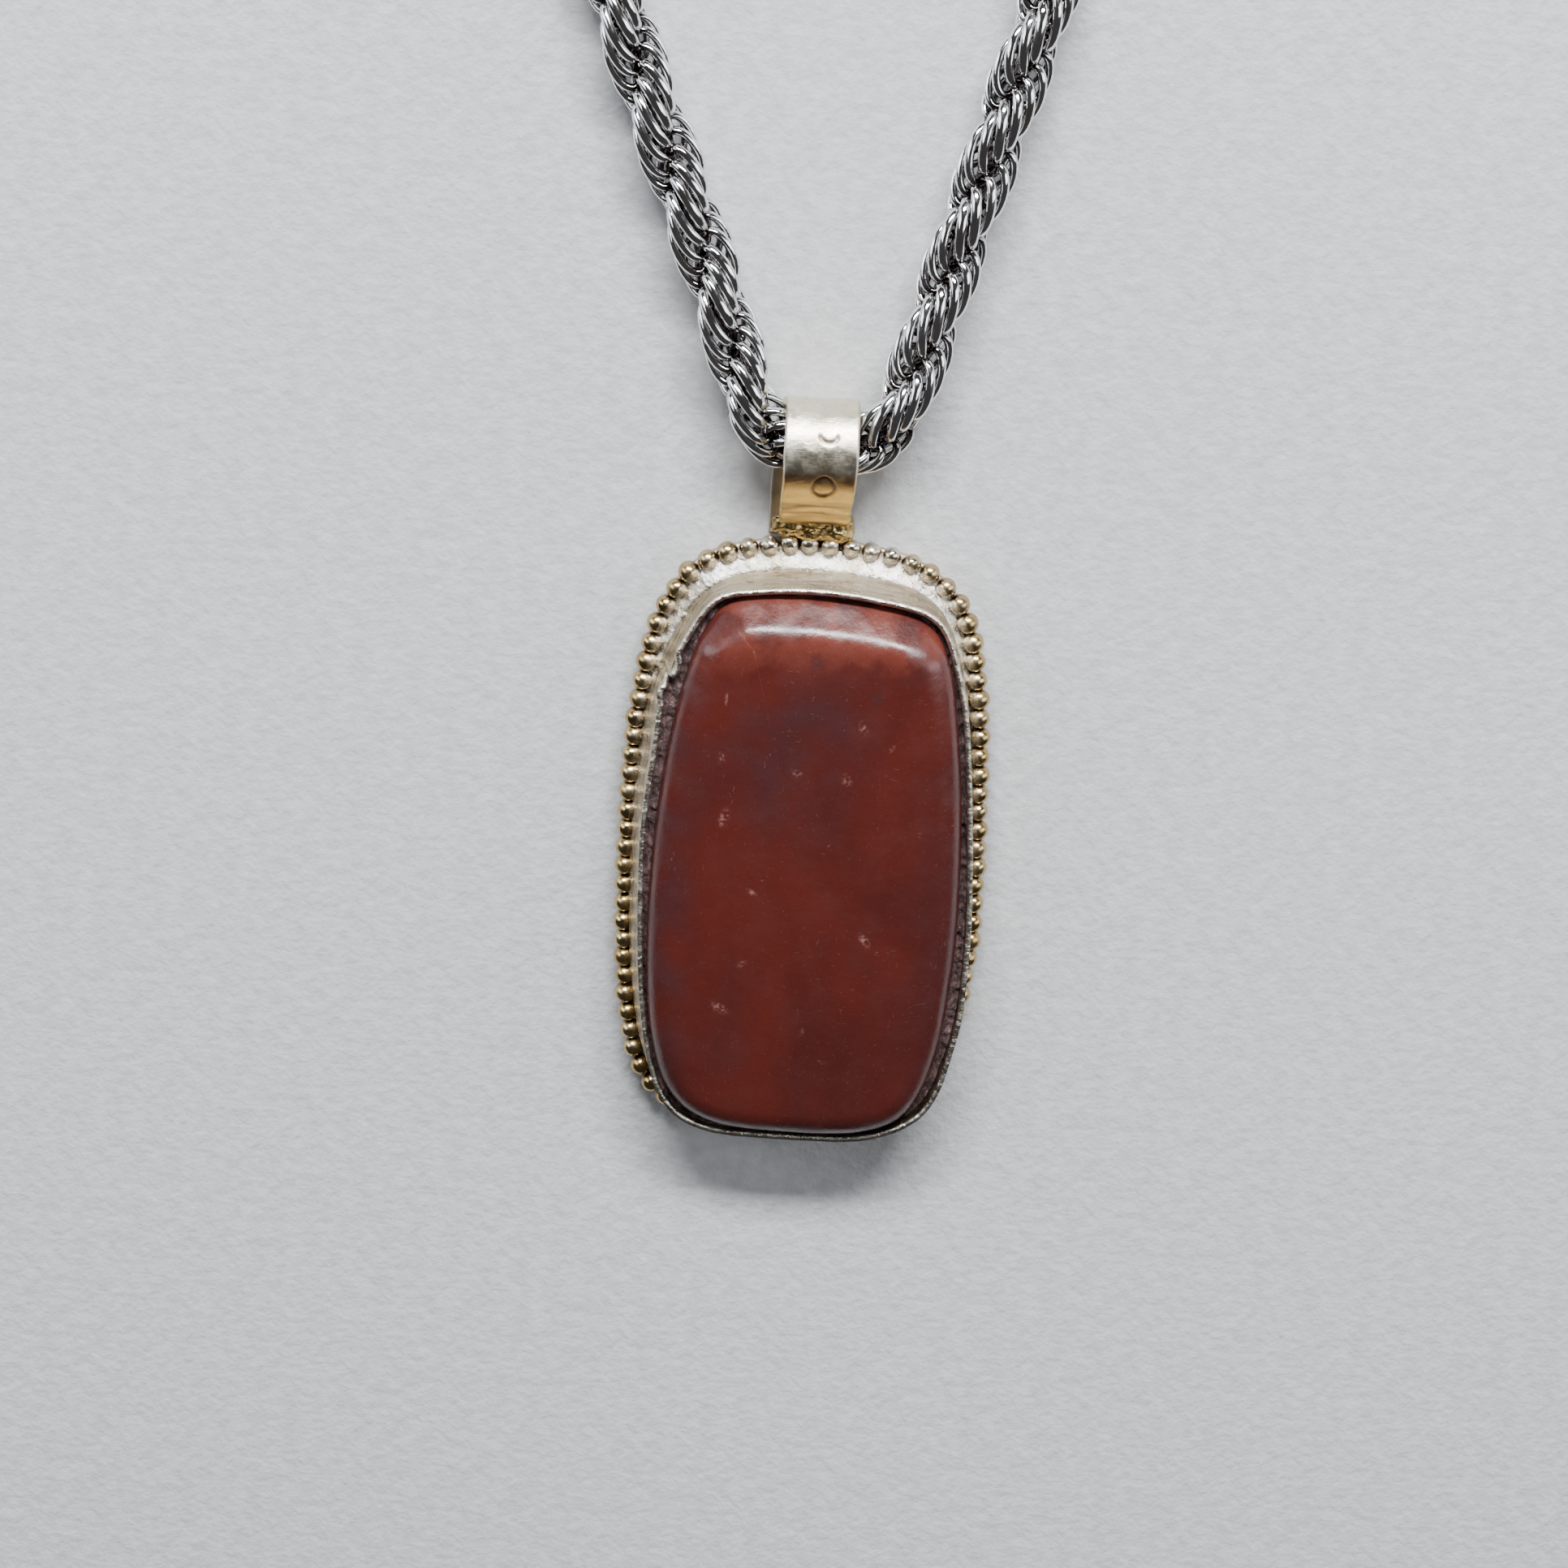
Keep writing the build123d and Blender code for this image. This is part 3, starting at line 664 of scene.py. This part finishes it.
def ledge():
    """Solder that fills the step between the beads and the bezel's foot."""
    edge_line = closed_curve(EDGE, wall_places)
    rings = []
    for share, z, _ in LEDGE_PROFILE:
        outline = wall_line + (edge_line - wall_line) * share
        outline = moved_out(outline, -0.2 + 0.3 * share)
        ring = at_height(outline, z)
        rough = 0.11 * lumps(ring, 1.1, 8) + 0.06 * lumps(ring, 0.4, 9)
        rings.append(ring + np.array([0, 0, 1]) * rough[:, None])
    rings.append(at_height(moved_out(wall_line, -0.2), plate_top + 0.02))
    piece = loft("solder_ledge", rings, ledge_look, close=True)
    flat = np.concatenate(rings)
    # painted shadow: the ledge is darkened towards the bottom, where the bezel's wall shades it from the
    # light
    in_wall_shadow = 1 - step(4.0, 12.0, flat[:, 1] - 0.15 * flat[:, 0])
    outer_side = np.repeat([grime_and_shade for _, _, grime_and_shade in LEDGE_PROFILE] + [LEDGE_FOOT_DARKENING], AROUND)
    paint(piece, "grime_and_shade", np.maximum(0.8 * in_wall_shadow, outer_side))


beads()
ledge()


# ---------------------------------------------------------------- back plate

PLATE_MIDDLE = np.array([0, -6.0])
# Up the plate's filed edge and over onto its top: how far out of the beads' line, and the height.
PLATE_EDGE = [(0.7, 0.0), (0.82, 0.1), (0.88, 0.3), (0.88, 0.55), (0.8, 0.72), (0.65, plate_top),
              (-0.5, plate_top)]


def back_plate():
    """The sheet under everything: filed edge, slightly uneven back."""
    edge_line = closed_curve(EDGE, wall_places)
    wave = 0.05 * lumps(at_height(edge_line, 0), 3.0, 10)
    rings = []
    for inward in (0.97, 0.8, 0.6, 0.4, 0.2, 0.08):
        rings.append(at_height(edge_line * (1 - inward) + PLATE_MIDDLE * inward, 0.03))
    rings.append(at_height(moved_out(edge_line, 0.4 + wave), 0.02))
    for out, z in PLATE_EDGE:
        rings.append(at_height(moved_out(edge_line, out + wave), z))
    for inward in (0.2, 0.6, 0.97):
        rings.append(at_height(edge_line * (1 - inward) + PLATE_MIDDLE * inward, plate_top))
    piece = loft("base_plate", rings, plate_look, cap_first=True, cap_last=True)
    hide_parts("back_plate")


back_plate()


# ---------------------------------------------------------------- stone and its packing

SHOULDER = 2.6           # the radius that the stone's edge is rounded with
SHOULDER_RINGS = 30
SHOULDER_TURN = 84       # degrees of that round
SHOULDER_Z = 5.8         # where the round starts
TOP_END_LOWER = 0.9      # how much lower the top end's slope starts
CROWN = 0.3              # how much the face is domed
CHIP_DEEP = 0.05
# The stone's top end slopes for longer, then rolls over: how far in, and how steep it is there.
TOP_IN = np.linspace(0, 4.1, 83)
TOP_STEEP = np.radians(np.interp(TOP_IN, (0.0, 0.35, 0.8, 2.0, 2.6, 3.3, 4.1), (70, 54, 49, 47, 30, 12, 2)))
TOP_RISE = np.cumsum(np.tan(TOP_STEEP)) / np.sum(np.tan(TOP_STEEP))
STONE_SIDES = 360
STONE_MIDDLE = np.array([0.0, -6.5])
girdle = closed_curve(GIRDLE, even_places(GIRDLE, STONE_SIDES))
# Each mark: its middle, its half length and half width, and the angle that it runs at.
CHIPS = [(-6.6, -1.6, 1.1, 0.5, 70), (-4.0, -7.9, 0.6, 0.25, -40), (5.3, -11.6, 0.9, 0.45, -50),
         (-4.5, -14.2, 0.5, 0.25, 20), (-6.2, -18.2, 1.1, 0.4, -35), (3.1, 2.2, 0.7, 0.3, -40),
         (-7.0, 3.6, 0.4, 0.3, 0), (0.6, -20.0, 0.3, 0.2, 0), (6.6, 5.0, 0.3, 0.2, 60),
         (2.0, -3.5, 0.22, 0.2, 0), (-1.0, 2.6, 0.7, 0.15, -10), (-6.9, 8.6, 0.6, 0.2, 80),
         (4.2, 6.6, 0.9, 0.18, -55)]
# Each dark spot: its middle, its radius and how dark it is.
SPOTS = [(0.2, 12.0, 0.9, 0.7), (5.2, 9.2, 1.0, 0.6), (-5.5, -22.5, 3.0, 0.3), (1.0, 7.8, 3.4, 0.35)]


def stone():
    """A worn slab with rounded shoulders, a hardly domed face, and small chips."""
    crown = stone_top - CROWN - 0.05
    top_end = step(12.0, 16.0, girdle[:, 1])
    start = SHOULDER_Z - TOP_END_LOWER * top_end
    rings = [at_height(girdle * 0.9 + STONE_MIDDLE * 0.1, stone_bottom)]
    for share in (0.1, 0.4, 0.7, 0.9, 0.98):
        outline = moved_out(girdle, -0.25 * (1 - share))
        rings.append(at_height(outline, stone_bottom + (start - stone_bottom) * share))
    for share in np.linspace(0.04, 1.0, SHOULDER_RINGS):
        turn = math.radians(SHOULDER_TURN) * share
        round_in, round_up = SHOULDER * (1 - math.cos(turn)), math.sin(turn)
        slope_in = TOP_IN[-1] * share
        slope_up = np.interp(slope_in, TOP_IN, TOP_RISE)
        inset = round_in + (slope_in - round_in) * top_end
        rise = round_up + (slope_up - round_up) * top_end
        rings.append(at_height(moved_out(girdle, -inset), start + (crown - start) * rise))
    top_line = rings[-1][:, :2]
    for inward in np.concatenate([np.linspace(0.04, 0.95, 46), [0.985]]):
        outline = top_line * (1 - inward) + STONE_MIDDLE * inward
        rings.append(at_height(outline, crown + 0.02 + CROWN * (1 - (1 - inward) ** 2)))
    flat = np.concatenate(rings)
    on_top = step(5.5, 7.5, flat[:, 2])
    flat[:, 2] += on_top * 0.06 * lumps(flat, 5.0, 11)
    chip = np.zeros(len(flat))
    for x, y, half_long, half_wide, angle in CHIPS:
        c, d = math.cos(math.radians(angle)), math.sin(math.radians(angle))
        u = (flat[:, :2] - (x, y)) @ np.array([[c, -d], [d, c]])
        here = (1 - step(0, 1, np.hypot(u[:, 0] / half_long, u[:, 1] / half_wide))) * on_top
        chip = np.maximum(chip, here)
        flat[:, 2] -= CHIP_DEEP * here
    spot = np.zeros(len(flat))
    for x, y, radius, strength in SPOTS:
        spot = np.maximum(spot, strength * dip(flat, (x, y), radius) * on_top)
    rings = flat.reshape(len(rings), STONE_SIDES, 3)
    piece = loft("stone_slab", rings, stone_look, cap_first=True, cap_last=True)
    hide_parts("stone")
    paint(piece, "chip", chip * 0.7)
    paint(piece, "spot", spot)
    middle = dip(flat * (1, 0.8, 1), (-1.5, 3.2), 9.0)
    left, right = 1 - step(-10.5, -7.5, flat[:, 0]), step(8.5, 11.5, flat[:, 0])
    paint(piece, "plum", middle + 0.7 * left + 0.5 * right)


PACKING_FOOT = 3.9
PACKING_TOP = 5.35
PACKING_PAST = 1.06      # it reaches a little into the stone's side, which is at 1


def packing():
    """Crumbly filling between the stone and the bezel."""
    inner_wall = moved_out(wall_line * 0.25 + rim_line * 0.75, -BEZEL_T * 0.7)
    nearest = closed_curve(GIRDLE, even_places(GIRDLE, 2000))
    hug = nearest[[int(np.argmin(((nearest - p) ** 2).sum(1))) for p in inner_wall]]
    rings = [at_height(inner_wall, PACKING_FOOT)]
    for share in np.linspace(0, PACKING_PAST, 9):
        ring = at_height(inner_wall + (hug - inner_wall) * share, PACKING_TOP)
        rough = 0.28 * lumps(ring, 0.9, 12) + 0.22 * lumps(ring, 0.35, 13)
        rings.append(ring + np.array([0, 0, 1]) * (rough - 0.25 * math.sin(math.pi * min(share, 1)))[:, None])
    rings.append(at_height(inner_wall + (hug - inner_wall) * PACKING_PAST, PACKING_FOOT))
    piece = loft("packing_ring", rings, packing_look, close=True)
    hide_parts("stone_bedding")


stone()
packing()


# ---------------------------------------------------------------- bail

BAIL_W = 5.9
BAIL_T = 0.7
BAIL_EDGE = 0.18         # how far in from its sides the strip's edges are rounded
BAIL_LEAVE = 45          # degrees past the top where the front leg leaves the round
BAIL_BACK_Y = 20.2       # where the back leg goes in under the solder
BAIL_FOOT_Z = 2.0
BAIL_ROWS = 170
BAIL_COLUMNS = 56
PUNCH_DEEP = 0.16
# Each punched mark: its middle across and along the strip, its half width and half length, and the
# angles that it starts and ends at.
PUNCHES = [(0.35, 2.7, 1.05, 1.45, 0, 360), (0.55, -2.1, 0.95, 1.0, 190, 340)]


def bail_profile():
    """The strip's middle line seen from the side (y, z), and how far each point is past the top."""
    radius = bail_high[1] - bail_axis[1] - BAIL_T / 2
    leave = math.radians(BAIL_LEAVE)
    y0, z0 = bail_axis[1] - radius * math.sin(leave), bail_axis[2] + radius * math.cos(leave)
    run = (z0 - BAIL_FOOT_Z) / math.sin(leave) - 0.3
    points = [(y, bail_axis[2] - radius) for y in np.linspace(BAIL_BACK_Y, bail_axis[1], 12)[:-1]]
    sweep = np.linspace(-math.pi, leave, 90)
    points += [(bail_axis[1] - radius * math.sin(a), bail_axis[2] + radius * math.cos(a)) for a in sweep]
    points += [(y0 - d * math.cos(leave), z0 - d * math.sin(leave)) for d in np.linspace(0, run, 30)[1:]]
    points = np.array(points)
    along = np.concatenate([[0], np.cumsum(np.linalg.norm(np.diff(points, axis=0), axis=1))])
    top = np.interp(0, sweep, along[11:11 + len(sweep)])
    even = np.linspace(0, along[-1], BAIL_ROWS)
    line = np.stack([np.interp(even, along, points[:, k]) for k in range(2)], axis=1)
    return line, even - top


def punch_depth(x, past):
    """How deep the two punched marks are: a ring, and an arc of one that was struck unevenly."""
    depth = np.zeros(np.broadcast(x, past).shape)
    for at_x, at_past, half_w, half_l, start, end in PUNCHES:
        u, v = (x - at_x) / half_w, (past - at_past) / half_l
        angle = np.degrees(np.arctan2(-v, u)) % 360
        groove = np.exp(-((np.hypot(u, v) - 0.82) / 0.13) ** 2)
        depth = np.maximum(depth, groove * ((angle >= start) & (angle <= end)))
    return depth


def bail():
    """One strip folded over the chain, softly dished, with worn edges and punched marks."""
    line, past = bail_profile()
    run = np.gradient(line, axis=0)
    run /= np.linalg.norm(run, axis=1)[:, None]
    out = np.stack([-run[:, 1], run[:, 0]], axis=1)
    if out[np.argmin(np.abs(past))][1] < 0:
        out = -out
    edge_turn = np.radians(np.linspace(-75, 75, 7))
    across = np.linspace(-1, 1, BAIL_COLUMNS)
    front = step(0, 9, past)
    wander = lumps(np.column_stack([past, past * 0, past * 0]), 2.0, 14)
    half_w = BAIL_W / 2 - 0.12 * front + 0.05 * wander
    centre_x = bail_axis[0] - 0.15 * front - 0.85 * (1 - step(-12, -5, past))
    flat_half = half_w - BAIL_EDGE
    edge_half = BAIL_T / 2 - 0.02
    none = 0 * past
    columns = []
    marks = []
    for a in across:
        x = a * flat_half
        dish = -0.10 * (1 - a * a) * step(-7, -3, past)
        ridges = step(3.6, 5.0, past) * lumps(np.column_stack([0.2 * x, past, none]), 0.7, 21)
        rough = 0.035 * lumps(np.column_stack([x, past, none]), 1.1, 15) + 0.07 * ridges
        mark = punch_depth(x, past)
        columns.append((x, BAIL_T / 2 + dish + rough - PUNCH_DEEP * mark))
        marks.append(mark)
    for turn in edge_turn:
        columns.append((flat_half + BAIL_EDGE * math.cos(turn), none - edge_half * math.sin(turn)))
    for a in across[::-6]:
        columns.append((a * flat_half, none - BAIL_T / 2 - 0.04 * (1 - a * a)))
    for turn in edge_turn:
        columns.append((-flat_half - BAIL_EDGE * math.cos(turn), none + edge_half * math.sin(turn)))
    marks += [none] * (len(columns) - len(marks))
    rings = []
    for i in range(BAIL_ROWS):
        x = np.array([c[0][i] for c in columns]) + centre_x[i]
        lift = np.array([c[1][i] for c in columns])
        side = line[i] + lift[:, None] * out[i]
        rings.append(np.column_stack([x, side]))
    piece = loft("bail_fold", rings, bail_look, cap_first=True, cap_last=True)
    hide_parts("bail_strip")
    flat = np.concatenate(rings)
    far = np.repeat(past, len(columns))
    mark = np.stack(marks, axis=1).ravel()
    # painted reflection: a dark, patchy band just past the top of the bail
    dark_reflection_band = step(0.6, 1.6, far) * (1 - step(2.4, 3.3, far))
    patchy = 0.5 + 0.5 * lumps(flat, 1.2, 16)
    paint(piece, "gold", np.maximum(step(0.2, 2.4, far) * 0.98, 0.18))
    ridges = lumps(flat * (0.15, 1, 1), 0.55, 20)
    low = step(4.6, 5.4, far) * (0.42 + 1.1 * ridges)
    back = 1 - step(-13, -10, far)
    paint(piece, "grime_and_shade", 0.95 * mark + 0.8 * dark_reflection_band * (0.35 + 0.65 * patchy) + low + 0.5 * back)


SOLDER_FILLS = (0.94, 0.48, 1.0)    # how much of its CAD box the solder fills along each axis


def bail_solder():
    """The rough run of solder round the bail's foot."""
    middle, half = (solder_low + solder_high) / 2, (solder_high - solder_low) / 2
    ball, faces = ball_mesh(56, 96)
    boxy = np.sign(ball) * np.abs(ball) ** 0.6
    points = middle + boxy * half * SOLDER_FILLS + (-0.1, 0.50 * half[1], 0)
    rough = 0.34 * lumps(points, 1.3, 17) + 0.22 * lumps(points, 0.5, 18)
    rough = rough + 0.07 * lumps(points, 0.22, 19)
    points = points + ball * rough[:, None]
    points[:, 2] = np.maximum(points[:, 2], 0.25)
    piece = mesh_piece("bail_solder_run", points, faces, solder_look)
    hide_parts("bail_solder")
    paint(piece, "grime_and_shade", step(0.1, 0.45, -rough) + 0.4 * step(0, 2, -points[:, 0] - 1.5))


bail()
bail_solder()


# ---------------------------------------------------------------- kept CAD nodes

FINDINGS = ("end_cap_left", "end_cap_right", "clasp_jump_ring", "end_ring", "clasp_body", "clasp_lever")
STEEL_PARTS = ("clasp_pivot_pin", "clasp_spring")

for node in FINDINGS + STEEL_PARTS:
    materials = frame["nodes"][node].data.materials
    materials.clear()
    materials.append(finding_look if node in FINDINGS else steel_look)


# ---------------------------------------------------------------- floor and light

FLOOR_HALF = 3.0         # metres
FLOOR_DROP = 0.0003      # metres below the CAD's lowest face


def add_floor():
    """A plain pale floor."""
    material, tree, shader = new_material("floor", Roughness=0.9)
    place = millimetres(tree)
    patches = between(tree, clouds(tree, place, 1.5, detail=4.0), 0.3, 0.7)
    grey = blended(tree, patches, (0.50, 0.50, 0.51), (0.58, 0.58, 0.59))
    join(tree, shader, Base_Color=grey, Normal=raised(tree, clouds(tree, place, 0.8, detail=4.0), 0.15))
    mesh = bpy.data.meshes.new("floor")
    half = FLOOR_HALF
    square = [(-half, -half, 0), (half, -half, 0), (half, half, 0), (-half, half, 0)]
    mesh.from_pydata(square, [], [(0, 1, 2, 3)])
    mesh.materials.append(material)
    floor = bpy.data.objects.new("floor", mesh)
    floor.location.z = -FLOOR_DROP
    bpy.context.scene.collection.objects.link(floor)


def add_light(name, at, aim, size, power, colour=(1, 1, 1)):
    """A soft box at one place, in metres, facing another."""
    data = bpy.data.lights.new(name, "AREA")
    data.shape = "RECTANGLE"
    data.size, data.size_y = size
    data.energy = power
    data.color = colour
    light = bpy.data.objects.new(name, data)
    light.location = at
    light.rotation_euler = (Vector(aim) - Vector(at)).to_track_quat("-Z", "Y").to_euler()
    bpy.context.scene.collection.objects.link(light)


def add_world():
    """A dim grey room."""
    world = bpy.data.worlds.new("room")
    bpy.context.scene.world = world
    world.use_nodes = True
    background = world.node_tree.nodes["Background"]
    background.inputs["Color"].default_value = (0.90, 0.84, 0.82, 1)
    background.inputs["Strength"].default_value = 0.05


add_floor()
add_world()
add_light("window", (0.02, 0.50, 0.38), (0, 0.02, 0), (0.46, 0.09), 11.8, (0.96, 0.98, 1.0))
add_light("left", (-0.50, 0.22, 0.26), (0, 0, 0), (0.24, 0.50), 1.6, (0.90, 0.95, 1.0))
add_light("right", (0.46, 0.10, 0.30), (0, 0, 0), (0.22, 0.50), 1.4, (0.92, 0.95, 1.0))
